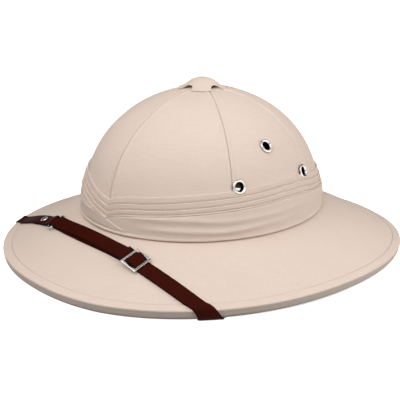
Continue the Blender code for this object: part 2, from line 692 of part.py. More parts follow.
def make_strap_ring(way, finish, parent):
    """A narrow ring of round wire with rounded corners, lying across the strap."""
    sections = []
    for quarter, (sx, sy) in enumerate(((1, 1), (-1, 1), (-1, -1), (1, -1))):
        centre = Vector((sx * (RING_HALF_GAP - RING_CORNER), sy * (RING_HALF_SPAN - RING_CORNER), 0))
        for share in (0, 0.5, 1):
            angle = (quarter + share) * math.pi / 2
            out = Vector((math.cos(angle), math.sin(angle), 0))
            middle = centre + out * RING_CORNER
            spokes = [math.tau * k / 8 for k in range(8)]
            ring = [middle + (out * math.cos(a) + Vector((0, 0, math.sin(a)))) * RING_WIRE for a in spokes]
            sections.append(ring)
    ring = add_object("strap_ring", loft("strap_ring", sections, closed=True), finish, parent)
    ring.matrix_world = way.frame(RING_AT, RING_LIFT) @ Matrix.Rotation(RING_TURN, 4, "Z")
    return ring


def make_rivet(way, finish, parent):
    under = STRAP_UNDER
    seat = under + STRAP_SKIVED + FOLD_GAP + STRAP_THICK + GAP
    profile = [(0, under), (RIVET_SHANK, under), (RIVET_SHANK, seat), (RIVET_HEAD, seat),
               (RIVET_HEAD * 0.8, seat + 0.6 * MM), (0, seat + 0.9 * MM)]
    rivet = add_object("strap_rivet", turned("strap_rivet", profile, 12), finish, parent)
    rivet.matrix_world = way.frame(RIVET_AT, 0)
    return rivet


def make_pins(way, finish, parent):
    seat = STRAP_UNDER + STRAP_THICK + GAP
    profile = [(0, -PIN_DEPTH), (PIN_SHANK, -PIN_DEPTH), (PIN_SHANK, seat), (PIN_HEAD, seat),
               (PIN_HEAD, seat + 0.6 * MM), (PIN_HEAD * 0.6, seat + 1.0 * MM), (0, seat + 1.0 * MM)]
    for side, sign in (("left", 1), ("right", -1)):
        name = f"strap_pin_{side}"
        pin = add_object(name, turned(name, profile, 8), finish, parent)
        pin.matrix_world = way.frame(sign * (STRAP_HALF_LENGTH - STRAP_PIN_INSET), 0)


def make_strap(shell, leather, nickel, parent):
    way = StrapWay(BrimSkin())
    long_ribbon = ribbon("strap_long", way, long_strap_stations())
    long_part = add_object("strap_long", long_ribbon, leather, parent)
    short_ribbon = ribbon("strap_short", way, short_strap_stations())
    short_part = add_object("strap_short", short_ribbon, leather, parent)
    make_buckle(way, nickel, parent)
    make_strap_ring(way, nickel, parent)
    make_rivet(way, nickel, parent)
    make_pins(way, nickel, parent)
    pin_at = STRAP_HALF_LENGTH - STRAP_PIN_INSET
    pin_places = [way.frame(sign * pin_at, 0) for sign in (1, -1)]
    pin_holes = rods("pin_holes", pin_places, PIN_SHANK + GAP, -PIN_DEPTH - GAP, 4 * MM, 12, parent)
    rivet_hole = rods("rivet_hole", [way.frame(RIVET_AT, 0)], RIVET_SHANK + GAP, -1 * MM, 5 * MM, 12, parent)
    for part in (shell, long_part, short_part):
        cut(part, pin_holes)
    cut(short_part, rivet_hole)


def main():
    for old in list(bpy.data.objects):
        bpy.data.objects.remove(old)
    helmet = bpy.data.objects.new("helmet", None)
    bpy.context.scene.collection.objects.link(helmet)

    cloth = material("sand_cotton_cloth", CLOTH_COLOUR, 0.9)
    pith = material("pressed_pith", PITH_COLOUR, 0.85)
    leather = material("brown_strap_leather", LEATHER_COLOUR, 0.45)
    nickel = material("nickel_plated_metal", NICKEL_COLOUR, 0.25, metallic=1.0)

    shell = make_shell(pith, helmet)
    gores = make_gores(cloth, helmet)
    make_ring("brim_cover", cover_section, cloth, helmet)
    make_ring("brim_binding", binding_section, cloth, helmet)
    band = make_band(cloth, helmet)
    make_cap(cloth, helmet)
    make_eyelets(nickel, helmet)
    places = eyelet_places()
    eyelet_holes = rods("eyelet_holes", places.values(), EYELET_HOLE, -9 * MM, 4 * MM, EYELET_SIDES, helmet)
    low_places = [place for name, place in places.items() if not name.endswith("top")]
    notches = rods("band_notches", low_places, EYELET_FLANGE + GAP, -EYELET_OVER_BAND, 6 * MM, 16, helmet)
    cut(band, notches)
    for part in [shell] + gores:
        cut(part, eyelet_holes)
    make_strap(shell, leather, nickel, helmet)


main()
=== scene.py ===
"""Pith helmet, dressed over its solids: sewn cotton over the crown and brim, a pleated band, a bound rim,
a vent cap, rolled eyelets and a leather chin strap with its slider, ring and rivet.

Metres, +Z up. The front faces -Y and the wearer's left is +X. Sizes are written in mm and angles in degrees
from the front towards the wearer's left. A lift is measured outwards from the crown's cloth.
"""

import math

import bmesh
import bpy
import numpy as np
from mathutils import Matrix, Vector, noise


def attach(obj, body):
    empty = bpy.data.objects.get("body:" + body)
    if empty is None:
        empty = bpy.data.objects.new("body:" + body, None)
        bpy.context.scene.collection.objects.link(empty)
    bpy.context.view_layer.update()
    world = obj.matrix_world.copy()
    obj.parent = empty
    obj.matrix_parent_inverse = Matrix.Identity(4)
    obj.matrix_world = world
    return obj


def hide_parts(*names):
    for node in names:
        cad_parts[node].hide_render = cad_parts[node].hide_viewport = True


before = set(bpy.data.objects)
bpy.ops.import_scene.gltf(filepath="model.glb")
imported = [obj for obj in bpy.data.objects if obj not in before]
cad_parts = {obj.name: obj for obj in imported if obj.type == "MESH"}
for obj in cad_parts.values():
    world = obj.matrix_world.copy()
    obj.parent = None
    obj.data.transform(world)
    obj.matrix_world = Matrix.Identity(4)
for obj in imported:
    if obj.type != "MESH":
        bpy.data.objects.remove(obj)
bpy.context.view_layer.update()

MM = 0.001

# Crown, at the outer face of its cloth
CROWN_HALF_LENGTH = 107.8
CROWN_HALF_WIDTH = 95.6
CROWN_HEIGHT = 101.6
CROWN_PLAN_POWER = 1.91
CROWN_RISE_POWER = 2.30
CROWN_FRONT_FULLNESS = 0.12
CROWN_BASE_Z = 38.4
CROWN_CENTRE_Y = -6.2
CROWN_TILT = 1.55
CROWN_SEAT = (
    Matrix.Translation((0, CROWN_CENTRE_Y, CROWN_BASE_Z)) @ Matrix.Rotation(math.radians(CROWN_TILT), 4, "X")
)
VENT_RISE = 0.9956  # where the cloth ends, round the hole under the cap

# Brim and its rolled edge
RIM_HALF_LENGTH = 181.2
RIM_HALF_WIDTH = 157.9
RIM_POWER = 2.16
RIM_SIDE_LIFT = 3.3
RIM_LIFT_POWER = 0.75
RIM_FLAT_SHARE = 0.15
BRIM_SLOPE = 24.5
BRIM_BULGE = 1.0
ROLL_UPPER = 3.5
ROLL_LOWER = 4.0
BINDING_CREASE = 7.0  # where the binding's inner edge is sewn, in from the outermost line
RIM_SWELL = 1.8  # how much taller the bound edge stands than the roll under it, at its upper corner
RIM_FULLNESS = 0.65  # and how much fuller
# Where each of these starts and where it is full, in from the outermost line and up from the rim's underside
SWELL_INSETS = (BINDING_CREASE, 0.5)
SWELL_HEIGHTS = (1.5, 5.4)
FULLNESS_HEIGHTS = (3.8, 5.5)
BRIM_WEFT = 47.0  # the way the brim's weft runs, from +X
CLOTH = 1.0
BINDING_CLOTH = 0.7
BAND_CLOTH = 0.8

# The binding's section. Its top: distance outwards from the crease, and height above the brim
BINDING_TOP = (
    (0.06, -0.5), (0.06, -0.22), (0.25, -0.08), (0.7, 0.04), (1.3, 0.12), (2.3, 0.14), (3.6, 0.06),
)
# Its turn round the edge: distance inside the outermost line, and height above the rim's underside
BINDING_TURN = (
    (2.1, 7.1), (1.45, 6.82), (0.9, 6.48), (0.6, 6.2), (0.42, 5.9), (0.3, 5.5), (0.22, 5.1), (0.16, 4.6),
    (0.14, 3.9), (0.26, 3.1), (0.4, 2.5), (0.8, 1.85), (1.45, 1.1), (2.2, 0.5), (3.1, 0.15), (4.0, 0.0),
    (6.0, 0.0), (8.0, 0.0), (8.7, 0.9), (9.5, 2.3),
)

# Seams of the crown: angle, and how tight each was sewn
SEAMS = {3.75: 1.4, 63.75: 0.85, 116.25: 1.45, 183.75: 1.0, 243.75: 1.0, 303.75: 1.0}
SEAM_OFFSETS = (0.08, 0.18, 0.30, 0.44, 0.66, 0.96, 1.35, 1.8, 2.3, 2.75, 3.1, 3.5, 4.1, 5.0)  # from the seam
SEAM_TURN = 0.6  # depth to which the edges turn down
SEAM_TURN_WIDTH = 0.19
SEAM_RIDGE = 0.40  # height of the ridge over the folded allowance, which lies between these distances
RIDGE_START = 0.5
SEAM_ALLOWANCE = 2.9
PUCKER = 0.20  # depth of the dimple at each stitch
PUCKER_OFFSET = 0.95
PUCKER_HALF_WIDTH = 0.5
STITCH_PITCH = 3.2

# How unevenly each cloth lies: height of its lumps, and about how far apart they are
UNEVEN = {"crown": (0.16, 26.0), "brim": (0.22, 34.0), "band": (0.12, 22.0), "gathers": (0.28, 9.0)}

BAND_GAP = 0.45  # between the crown's cloth and the band
# Pleated band: height of its top edge above the crown's base, by angle
BAND_TOP = {
    -180: 28.0, -133: 31.0, -90: 38.5, -60: 38.0, -31: 36.5, -18: 34.0, -11: 31.0, -5: 28.0, 3.5: 24.5,
    10: 28.0, 16: 29.8, 30: 32.2, 50: 35.1, 70: 37.0, 88: 38.8, 100: 38.3, 128: 32.0, 180: 28.0,
}
PLEAT_DROPS = (13.8, 10.0, 5.4)  # how far under the top edge each pleat's fold lies, the lowest first
PLEAT_LIFTS = (3.0, 2.4, 1.8, 1.2)  # lift of the plain part, then of each pleat
PLEAT_OVERHANG = 0.45  # the lowest pleat stands off the plain part
BAND_HEM = (  # height above the crown's base, and lift
    (1.2, 0.15), (0.5, 0.7), (0.05, 1.5), (-0.1, 2.3), (0.1, 3.0), (0.55, 3.42), (1.1, 3.55), (1.6, 3.4),
    (2.1, 3.12), (2.7, 3.0),
)
# The band's end is laid over its start along a slanting line: the line's height, and the end's lift over it
BAND_CROSSING = {-6: 12.5, 1.5: 10.2, 7: 8.1, 12: 5.3, 15: 3.1, 22: 1.6}
BAND_CROSSING_LIFT = {-66: 0.0, -6: 0.5, 17: 0.5, 22: 0.0}
BAND_GATHERED_AT = -4  # where its ends are pulled together
# Soft folds in the plain part: height of the crest and how far it stands out, by angle, and half width
DRAPES = (
    ({18: 15.6, 27: 16.0, 45: 16.0, 60: 14.2, 77: 15.0, 100: 16.0},
     {14: 0.0, 26: 1.0, 50: 1.0, 80: 0.8, 112: 0.0}, 1.6),
    ({18: 8.0, 35: 8.0, 60: 6.9, 77: 8.4, 100: 10.0}, {20: 0.0, 34: 1.1, 62: 1.6, 80: 0.8, 100: 0.0}, 1.5),
    ({-70: 17.0, -40: 15.0, -10: 12.8, 0: 11.6}, {-90: 0.0, -50: 0.6, -14: 0.6, 2: 0.0}, 1.7),
    ({-160: 14.0, -90: 19.0, -60: 19.5}, {-175: 0.0, -140: 0.6, -90: 0.7, -60: 0.0}, 2.6),
    ({100: 14.0, 130: 12.0, 175: 10.0}, {96: 0.0, 120: 0.6, 160: 0.5, 178: 0.0}, 2.6),
)


# ---------------------------------------------------------------- surfaces of the hat, in mm


def by_angle(table, degrees):
    return np.interp((degrees + 180) % 360 - 180, list(table), list(table.values()))


def ramp(value, start, full):
    """0 at the start, 1 where it is full, and straight between them."""
    return np.clip((value - start) / (full - start), 0, 1)


def crown_at(degrees, height, lift):
    """Points of the crown, for heights above its base and lifts outwards from its cloth."""
    degrees, height, lift = np.broadcast_arrays(degrees, height, lift)
    angle = np.radians(degrees)
    rise = np.clip(height / CROWN_HEIGHT, 0, 1)
    power = CROWN_RISE_POWER + CROWN_FRONT_FULLNESS * np.cos(angle)
    ring = (1 - rise**power) ** (1 / CROWN_PLAN_POWER)
    x = (CROWN_HALF_WIDTH + lift) * ring * np.sin(angle)
    y = -(CROWN_HALF_LENGTH + lift) * ring * np.cos(angle)
    z = (CROWN_HEIGHT + lift) * rise
    seat = np.array(CROWN_SEAT)
    return np.stack((x, y, z), -1) @ seat[:3, :3].T + seat[:3, 3]


def rim_at(degrees, inset, up):
    """Points inside the brim's outermost line and above its underside."""
    angle = np.radians(degrees)
    sine, cosine = np.sin(angle), np.cos(angle)
    share = ramp(sine**2, RIM_FLAT_SHARE, 1)
    side = np.sign(sine) * np.abs(sine) ** (2 / RIM_POWER)
    back = np.sign(cosine) * np.abs(cosine) ** (2 / RIM_POWER)
    x = (RIM_HALF_WIDTH - inset) * side
    y = -(RIM_HALF_LENGTH - inset) * back
    z = RIM_SIDE_LIFT * share**RIM_LIFT_POWER + up
    return np.stack(np.broadcast_arrays(x, y, z), -1)


def swollen(points, slide=0.0):
    """Points near the rim, carried up and out with its full bound edge.

    slide turns those that lie hidden under the brim, in degrees.
    """
    x, y = np.abs(points[..., 0]), np.abs(points[..., 1])
    inset = np.zeros_like(x)
    for _ in range(8):  # Newton's method: the inset of the superellipse that passes through each point
        side = (x / (RIM_HALF_WIDTH - inset)) ** RIM_POWER
        back = (y / (RIM_HALF_LENGTH - inset)) ** RIM_POWER
        slope = RIM_POWER * (side / (RIM_HALF_WIDTH - inset) + back / (RIM_HALF_LENGTH - inset))
        inset += (1 - side - back) / slope
    sine, cosine = np.sign(points[..., 0]) * np.sqrt(side), -np.sign(points[..., 1]) * np.sqrt(back)
    degrees = np.degrees(np.arctan2(sine, cosine))
    up = points[..., 2] - rim_at(degrees, 0, 0)[..., 2]
    near = ramp(inset, *SWELL_INSETS)
    raised = up + RIM_SWELL * near * ramp(up, *SWELL_HEIGHTS)
    pushed = inset - RIM_FULLNESS * near * ramp(up, *FULLNESS_HEIGHTS)
    under_brim = up < 3.5 + 0.35 * inset
    hidden = ramp(inset, 1, 5) * ramp(inset, 30, 12) * under_brim  # fades out before the strap's end
    moved = rim_at(degrees + slide * hidden, pushed, raised)
    return np.where((near + abs(slide) * hidden)[..., None] > 0, moved, points)


class BrimLine:
    """The brim's section at each angle: a line from the crown's base to the rolled edge, slightly bulged."""

    def __init__(self, degrees):
        slope = math.radians(BRIM_SLOPE)
        self.start = crown_at(degrees, 0, 0)
        end = rim_at(degrees, ROLL_UPPER * (1 - math.sin(slope)), ROLL_LOWER + ROLL_UPPER * math.cos(slope))
        run = end - self.start
        self.length = np.linalg.norm(run, axis=-1)
        self.along = run / self.length[..., None]
        outward = self.along * (1, 1, 0)
        outward /= np.linalg.norm(outward, axis=-1)[..., None]
        fall = np.arctan2(-self.along[..., 2], (self.along * outward).sum(-1))
        self.normal = outward * np.sin(fall)[..., None] + np.array((0, 0, 1)) * np.cos(fall)[..., None]
        self.crease = self.length - (BINDING_CREASE - ROLL_UPPER * (1 - math.sin(slope))) / np.cos(fall)

    def at(self, run, lift):
        share = np.clip(run / self.length, 0, 1)
        bulge = 4 * BRIM_BULGE * share * (1 - share) + lift
        return self.start + self.along * np.asarray(run)[..., None] + self.normal * bulge[..., None]


def unevenness(points, cloth, seed):
    """How far a cloth lies off its even shape at each point, as soft noise."""
    height, size = UNEVEN[cloth]
    flat = points.reshape(-1, 3)
    values = [noise.noise(Vector(point) / size + Vector((seed, 0, 0))) for point in flat]
    return height * np.array(values).reshape(points.shape[:-1])


def lengths_along(line):
    """The length along a line of points, from its start to each of them."""
    return np.pad(np.cumsum(np.linalg.norm(np.diff(line, axis=0), axis=-1)), (1, 0))


def bell(distance, width):
    return np.exp(-0.5 * (distance / width) ** 2)


def step_up(distance, width):
    return 1 / (1 + np.exp(-distance / width))


# ---------------------------------------------------------------- tools of the bench


def only(piece):
    """Makes a piece the one selected object."""
    for other in bpy.context.selected_objects:
        other.select_set(False)
    piece.select_set(True)
    bpy.context.view_layer.objects.active = piece


def edit(piece, *steps):
    """Opens a piece in edit mode with all of it selected, and works through the steps."""
    only(piece)
    bpy.ops.object.mode_set(mode="EDIT")
    bpy.ops.mesh.select_all(action="SELECT")
    for step in steps:
        step()
    bpy.ops.object.mode_set(mode="OBJECT")


def merge():
    bpy.ops.mesh.remove_doubles(threshold=0.002 * MM)


def face_outwards():
    bpy.ops.mesh.normals_make_consistent(inside=False)


def modify(piece, kind, **settings):
    """Adds a modifier with its settings and applies it."""
    only(piece)
    modifier = piece.modifiers.new(kind.lower(), kind)
    for name, value in settings.items():
        setattr(modifier, name, value)
    bpy.ops.object.modifier_apply(modifier=modifier.name)


def thicken(sheet, thickness, offset=-1):
    """Gives a sheet its thickness, inwards from its outer face, or to both sides where the offset is 0."""
    modify(sheet, "SOLIDIFY", thickness=thickness * MM, offset=offset)


def round_edges(piece, width, segments=2):
    """Rounds a piece's edges, where it turns by more than 50 degrees."""
    modify(piece, "BEVEL", width=width * MM, segments=segments, limit_method="ANGLE",
           angle_limit=math.radians(50))


def lay_sheet(name, points, threads, closed=False):
    """A flat grid of cloth, laid point by point in rows. threads says where on the bolt each point was."""
    rows, columns = points.shape[:2]
    bpy.ops.mesh.primitive_grid_add(x_subdivisions=columns - 1, y_subdivisions=rows - 1, size=1)
    sheet = bpy.context.object
    sheet.name = name
    mesh = sheet.data
    mesh.vertices.foreach_set("co", (points * MM).astype(np.float32).ravel())
    corner = np.zeros(len(mesh.loops), np.int32)
    mesh.loops.foreach_get("vertex_index", corner)
    for old in list(mesh.uv_layers):
        mesh.uv_layers.remove(old)
    layer = mesh.uv_layers.new(name="threads")
    layer.data.foreach_set("uv", threads.reshape(-1, 2)[corner].astype(np.float32).ravel())
    mesh.update()
    if closed:
        edit(sheet, merge)
    return sheet


def bolt_place(points):
    """Where each point of a sheet was on the bolt: along its row from the middle, and up its column."""
    across = np.linalg.norm(np.diff(points, axis=1), axis=-1)
    up = np.linalg.norm(np.diff(points, axis=0), axis=-1)
    u = np.pad(np.cumsum(across, axis=1), ((0, 0), (1, 0)))
    v = np.pad(np.cumsum(up, axis=0), ((1, 0), (0, 0)))
    middle = points.shape[1] // 2
    return np.stack((u - u[:, middle:middle + 1], v + 0 * u), -1)


def spun(name, profile, steps, place):
    """A closed outline of (radius, height) in mm, spun about Z and put in its place."""
    bpy.ops.mesh.primitive_circle_add(vertices=len(profile), radius=MM)
    piece = bpy.context.object
    piece.name = name
    for vertex, (radius, height) in zip(piece.data.vertices, profile):
        vertex.co = (radius * MM, 0, height * MM)

    def turn():
        bpy.ops.mesh.spin(steps=steps, angle=math.tau, center=(0, 0, 0), axis=(0, 0, 1))

    edit(piece, turn, lambda: bpy.ops.mesh.select_all(action="SELECT"), merge, face_outwards)
    piece.data.transform(place)
    return piece


def rod(name, place, radius, length, sides=64):
    """A round rod along its place's own Z, for cutting with."""
    bpy.ops.mesh.primitive_cylinder_add(vertices=sides, radius=radius * MM, depth=length * MM)
    piece = bpy.context.object
    piece.name = name
    piece.data.transform(place)
    return piece


def cut(piece, tool):
    modify(piece, "BOOLEAN", operation="DIFFERENCE", solver="EXACT", object=tool)
    bpy.data.objects.remove(tool)


def punch(sheet, place, radius, sides=32):
    """Punches a round hole in a sheet before it has its thickness: planes round the hole cut it free."""
    inverse = place.inverted()
    reach = radius / math.cos(math.pi / sides) + 0.4
    margin = 4
    depth = 8  # a fold of the sheet may lie this far from the hole's own plane
    shape = bmesh.new()
    shape.from_mesh(sheet.data)

    def from_middle(face):
        return inverse @ face.calc_center_median() / MM

    def near(limit):
        return [face for face in shape.faces
                if abs(from_middle(face).z) < depth and from_middle(face).xy.length < limit]

    patch = near(reach + margin)
    if near(reach):
        for k in range(sides):
            angle = math.tau * k / sides
            spoke = place.to_3x3() @ Vector((math.cos(angle), math.sin(angle), 0))
            patch = [face for face in patch if face.is_valid]
            edges = {edge for face in patch for edge in face.edges}
            corners = {corner for face in patch for corner in face.verts}
            done = bmesh.ops.bisect_plane(shape, geom=patch + list(edges | corners), dist=0.001 * MM,
                                          plane_co=place.translation + spoke * radius * MM, plane_no=spoke)
            patch = [item for item in done["geom"] if isinstance(item, bmesh.types.BMFace)]
            patch = [face for face in patch if from_middle(face).xy.length < reach + margin]
        bmesh.ops.delete(shape, geom=near(radius), context="FACES")
        shape.to_mesh(sheet.data)
    shape.free()


def dress(piece, material, slot, *nodes, sharp=35):
    """Finishes a piece: its material, smooth shading, what it stands for and what it rides on."""
    piece.data.materials.clear()
    piece.data.materials.append(material)
    only(piece)
    bpy.ops.object.shade_smooth_by_angle(angle=math.radians(sharp))
    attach(piece, "root")
    if nodes:
        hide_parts(*nodes)
    return piece


def seat_of(node, height=0.5):
    """A solid's own place, from its faces: Z is the way up that most of their area looks, and X the next.

    It lies in the middle of the solid, at a share of its height.
    """
    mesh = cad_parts[node].data
    looks = sum(face.area * np.outer(face.normal, face.normal) for face in mesh.polygons)
    x, z = np.linalg.eigh(looks)[1].T[1:]
    x *= np.sign(x[0])
    z *= np.sign(z[2])
    turn = np.stack((x, np.cross(z, x), z), -1)
    points = np.array([vertex.co for vertex in mesh.vertices]) @ turn
    low, high = points.min(axis=0), points.max(axis=0)
    middle = low + (high - low) * (0.5, 0.5, height)
    return Matrix.Translation(turn @ middle) @ Matrix(turn.tolist()).to_4x4()


def merged_copy(node, name):
    """A copy of a solid's mesh with its loose triangles joined into faces."""
    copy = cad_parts[node].copy()
    copy.data = copy.data.copy()
    for key in list(copy.keys()):
        del copy[key]
    copy.parent = None
    copy.name = name
    bpy.context.scene.collection.objects.link(copy)
    edit(copy, merge, lambda: bpy.ops.mesh.tris_convert_to_quads(face_threshold=0.9, shape_threshold=0.9))
    return copy


# ---------------------------------------------------------------- materials


def linear(colour):
    """Turns an sRGB hex colour into the linear values that a shader takes."""
    channels = [int(colour[k:k + 2], 16) / 255 for k in (1, 3, 5)]
    return (*[c / 12.92 if c <= 0.04045 else ((c + 0.055) / 1.055) ** 2.4 for c in channels], 1.0)


def add_node(tree, kind, settings=None, links=None):
    """Adds one node: settings are its own properties or its inputs' values, links are what feeds it."""
    node = tree.nodes.new(kind)
    for name, value in (settings or {}).items():
        if isinstance(name, str) and hasattr(node, name):
            setattr(node, name, value)
        else:
            node.inputs[name].default_value = value
    for name, output in (links or {}).items():
        tree.links.new(output, node.inputs[name])
    return node


def new_material(name, settings):
    """A material with one Principled shader, and its node tree and shader."""
    made = bpy.data.materials.new(name)
    made.use_nodes = True
    shader = made.node_tree.nodes["Principled BSDF"]
    for socket, value in settings.items():
        shader.inputs[socket].default_value = value
    return made, made.node_tree, shader


def sand_cotton(name="sand_cotton_plain_weave"):
    """Plain-woven cotton drill: matt, with a soft sheen at grazing angles.

    Its weft has slubs, thicker lengths of thread that show as faint streaks across the cloth. Real threads
    lie 0.5 mm apart. They are drawn 1.1 mm apart, as finer ones would not show.
    """
    made, tree, shader = new_material(name, {
        "Roughness": 0.88, "IOR": 1.47, "Specular IOR Level": 0.3, "Sheen Weight": 0.08,
        "Sheen Roughness": 0.45, "Sheen Tint": linear("#F3E6DA"),
    })
    threads = add_node(tree, "ShaderNodeUVMap", {"uv_map": "threads"}).outputs["UV"]
    slub_length, slub_height = 15.0, 0.9
    warp_width, warp_length = 0.8, 11.0
    weft_space = add_node(tree, "ShaderNodeMapping", {"Scale": (1 / slub_length, 1 / slub_height, 1)},
                          {"Vector": threads})
    weft = add_node(tree, "ShaderNodeTexNoise", {"Scale": 1.0, "Detail": 3.0, "Roughness": 0.6},
                    {"Vector": weft_space.outputs["Vector"]})
    warp_space = add_node(tree, "ShaderNodeMapping",
                          {"Scale": (1 / warp_width, 1 / warp_length, 1), "Location": (7, 3, 0)},
                          {"Vector": threads})
    warp = add_node(tree, "ShaderNodeTexNoise", {"Scale": 1.0, "Detail": 2.0, "Roughness": 0.5},
                    {"Vector": warp_space.outputs["Vector"]})
    tone_size = 38.0
    tone = add_node(tree, "ShaderNodeTexNoise", {"Scale": 1 / tone_size, "Detail": 2.0}, {"Vector": threads})
    streaks = add_node(tree, "ShaderNodeMath", {"operation": "MULTIPLY_ADD", 1: 0.35},
                       {0: warp.outputs["Fac"], 2: weft.outputs["Fac"]})
    streak_share = add_node(tree, "ShaderNodeMapRange", {"From Min": 0.45, "From Max": 0.92},
                            {"Value": streaks.outputs["Value"]})
    thread_colour = add_node(tree, "ShaderNodeMix",
                             {"data_type": "RGBA", 6: linear("#D8C5B7"), 7: linear("#E0CEC1")},
                             {0: streak_share.outputs["Result"]})
    tone_share = add_node(tree, "ShaderNodeMapRange", {"From Min": 0.35, "From Max": 0.65, "To Max": 0.22},
                          {"Value": tone.outputs["Fac"]})
    colour = add_node(tree, "ShaderNodeMix", {"data_type": "RGBA", 7: linear("#D8C3B6")},
                      {0: tone_share.outputs["Result"], 6: thread_colour.outputs[2]})
    tree.links.new(colour.outputs[2], shader.inputs["Base Color"])
    thread_pitch = 1.1
    wave_scale = math.pi / 10 / thread_pitch
    waves = [
        add_node(tree, "ShaderNodeTexWave", {"bands_direction": axis, "Scale": wave_scale, "Distortion": 0.6,
                                             "Detail": 1.0}, {"Vector": threads})
        for axis in "XY"
    ]
    weave = add_node(tree, "ShaderNodeMath", {"operation": "MULTIPLY"},
                     {0: waves[0].outputs["Fac"], 1: waves[1].outputs["Fac"]})
    weave_bump = add_node(tree, "ShaderNodeBump", {"Strength": 0.25, "Distance": 0.07 * MM},
                          {"Height": weave.outputs["Value"]})
    slub_bump = add_node(tree, "ShaderNodeBump", {"Strength": 0.30, "Distance": 0.10 * MM},
                         {"Height": streaks.outputs["Value"], "Normal": weave_bump.outputs["Normal"]})
    tree.links.new(slub_bump.outputs["Normal"], shader.inputs["Normal"])
    return made


def strap_leather(name="brown_bridle_leather"):
    """Dyed and waxed cowhide: a fine pebbled grain, darker where its edges were burnished."""
    made, tree, shader = new_material(name, {
        "Roughness": 0.6, "IOR": 1.45, "Specular IOR Level": 0.05,
    })
    place = add_node(tree, "ShaderNodeTexCoord").outputs["Object"]
    pebble_size, crease_size, mottle_size = 0.7, 2.5, 7.0
    mottle = add_node(tree, "ShaderNodeTexNoise", {"Scale": 1 / (mottle_size * MM), "Detail": 4.0},
                      {"Vector": place})
    dye = add_node(tree, "ShaderNodeMix", {"data_type": "RGBA", 6: linear("#2E0802"), 7: linear("#3E0C04")},
                   {0: mottle.outputs["Fac"]})
    across = add_node(tree, "ShaderNodeAttribute", {"attribute_name": "across"}).outputs["Fac"]
    edge_share = add_node(tree, "ShaderNodeMapRange", {"From Min": 0.82, "From Max": 1.0}, {"Value": across})
    colour = add_node(tree, "ShaderNodeMix", {"data_type": "RGBA", 7: linear("#210703")},
                      {0: edge_share.outputs["Result"], 6: dye.outputs[2]})
    tree.links.new(colour.outputs[2], shader.inputs["Base Color"])
    pebbles = add_node(tree, "ShaderNodeTexVoronoi",
                       {"feature": "SMOOTH_F1", "Scale": 1 / (pebble_size * MM)}, {"Vector": place})
    creases = add_node(tree, "ShaderNodeTexNoise",
                       {"Scale": 1 / (crease_size * MM), "Detail": 6.0, "Roughness": 0.65}, {"Vector": place})
    grain = add_node(tree, "ShaderNodeMath", {"operation": "ADD"},
                     {0: pebbles.outputs["Distance"], 1: creases.outputs["Fac"]})
    bump = add_node(tree, "ShaderNodeBump", {"Strength": 0.5, "Distance": 0.08 * MM},
                    {"Height": grain.outputs["Value"]})
    tree.links.new(bump.outputs["Normal"], shader.inputs["Normal"])
    return made


def nickel_plate(name="polished_nickel_plate"):
    """Nickel plate on pressed brass: a warm silver mirror with faint rubbing marks, painted dark as shade
    where a piece's painted_shade attribute is set.
    """
    made, tree, shader = new_material(name, {"Metallic": 1.0})
    place = add_node(tree, "ShaderNodeTexCoord").outputs["Object"]
    rub_size = 1.5
    rubbing = add_node(tree, "ShaderNodeTexNoise", {"Scale": 1 / (rub_size * MM), "Detail": 5.0},
                       {"Vector": place})
    metal = add_node(tree, "ShaderNodeMix", {"data_type": "RGBA", 6: linear("#BDB9B3"), 7: linear("#D8D4CF")},
                     {0: rubbing.outputs["Fac"]})
    painted_shade = add_node(tree, "ShaderNodeAttribute", {"attribute_name": "painted_shade"}).outputs["Fac"]
    # painted shade: the metal turns near black where the painted_shade attribute is set
    colour = add_node(tree, "ShaderNodeMix", {"data_type": "RGBA", 7: linear("#1C1512")},
                      {0: painted_shade, 6: metal.outputs[2]})
    tree.links.new(colour.outputs[2], shader.inputs["Base Color"])
    roughness = add_node(tree, "ShaderNodeMapRange", {"To Min": 0.12, "To Max": 0.28},
                         {"Value": rubbing.outputs["Fac"]})
    tree.links.new(roughness.outputs["Result"], shader.inputs["Roughness"])
    return made


def pressed_pith(name="pressed_pith_board"):
    """Sheets of pith pressed over a mould: pale brown, dull, with short felted fibres."""
    made, tree, shader = new_material(name, {"Roughness": 0.92, "IOR": 1.4})
    place = add_node(tree, "ShaderNodeTexCoord").outputs["Object"]
    fibre_size = 3.0
    fibres = add_node(tree, "ShaderNodeTexNoise",
                      {"Scale": 1 / (fibre_size * MM), "Detail": 6.0, "Distortion": 1.5}, {"Vector": place})
    colour = add_node(tree, "ShaderNodeMix",
                      {"data_type": "RGBA", 6: linear("#A8916C"), 7: linear("#CDB994")},
                      {0: fibres.outputs["Fac"]})
    tree.links.new(colour.outputs[2], shader.inputs["Base Color"])
    bump = add_node(tree, "ShaderNodeBump", {"Strength": 0.4, "Distance": 0.2 * MM},
                    {"Height": fibres.outputs["Fac"]})
    tree.links.new(bump.outputs["Normal"], shader.inputs["Normal"])
    return made


# ---------------------------------------------------------------- crown


def gore_heights():
    """Heights of a gore's rows: coarse under the band, and close enough above it to show the puckers."""
    low = np.linspace(1.0, 21.0, 7)
    arc = np.linspace(math.asin(22.0 / CROWN_HEIGHT), math.asin(VENT_RISE), 176)
    return np.concatenate((low, np.sin(arc) * CROWN_HEIGHT))


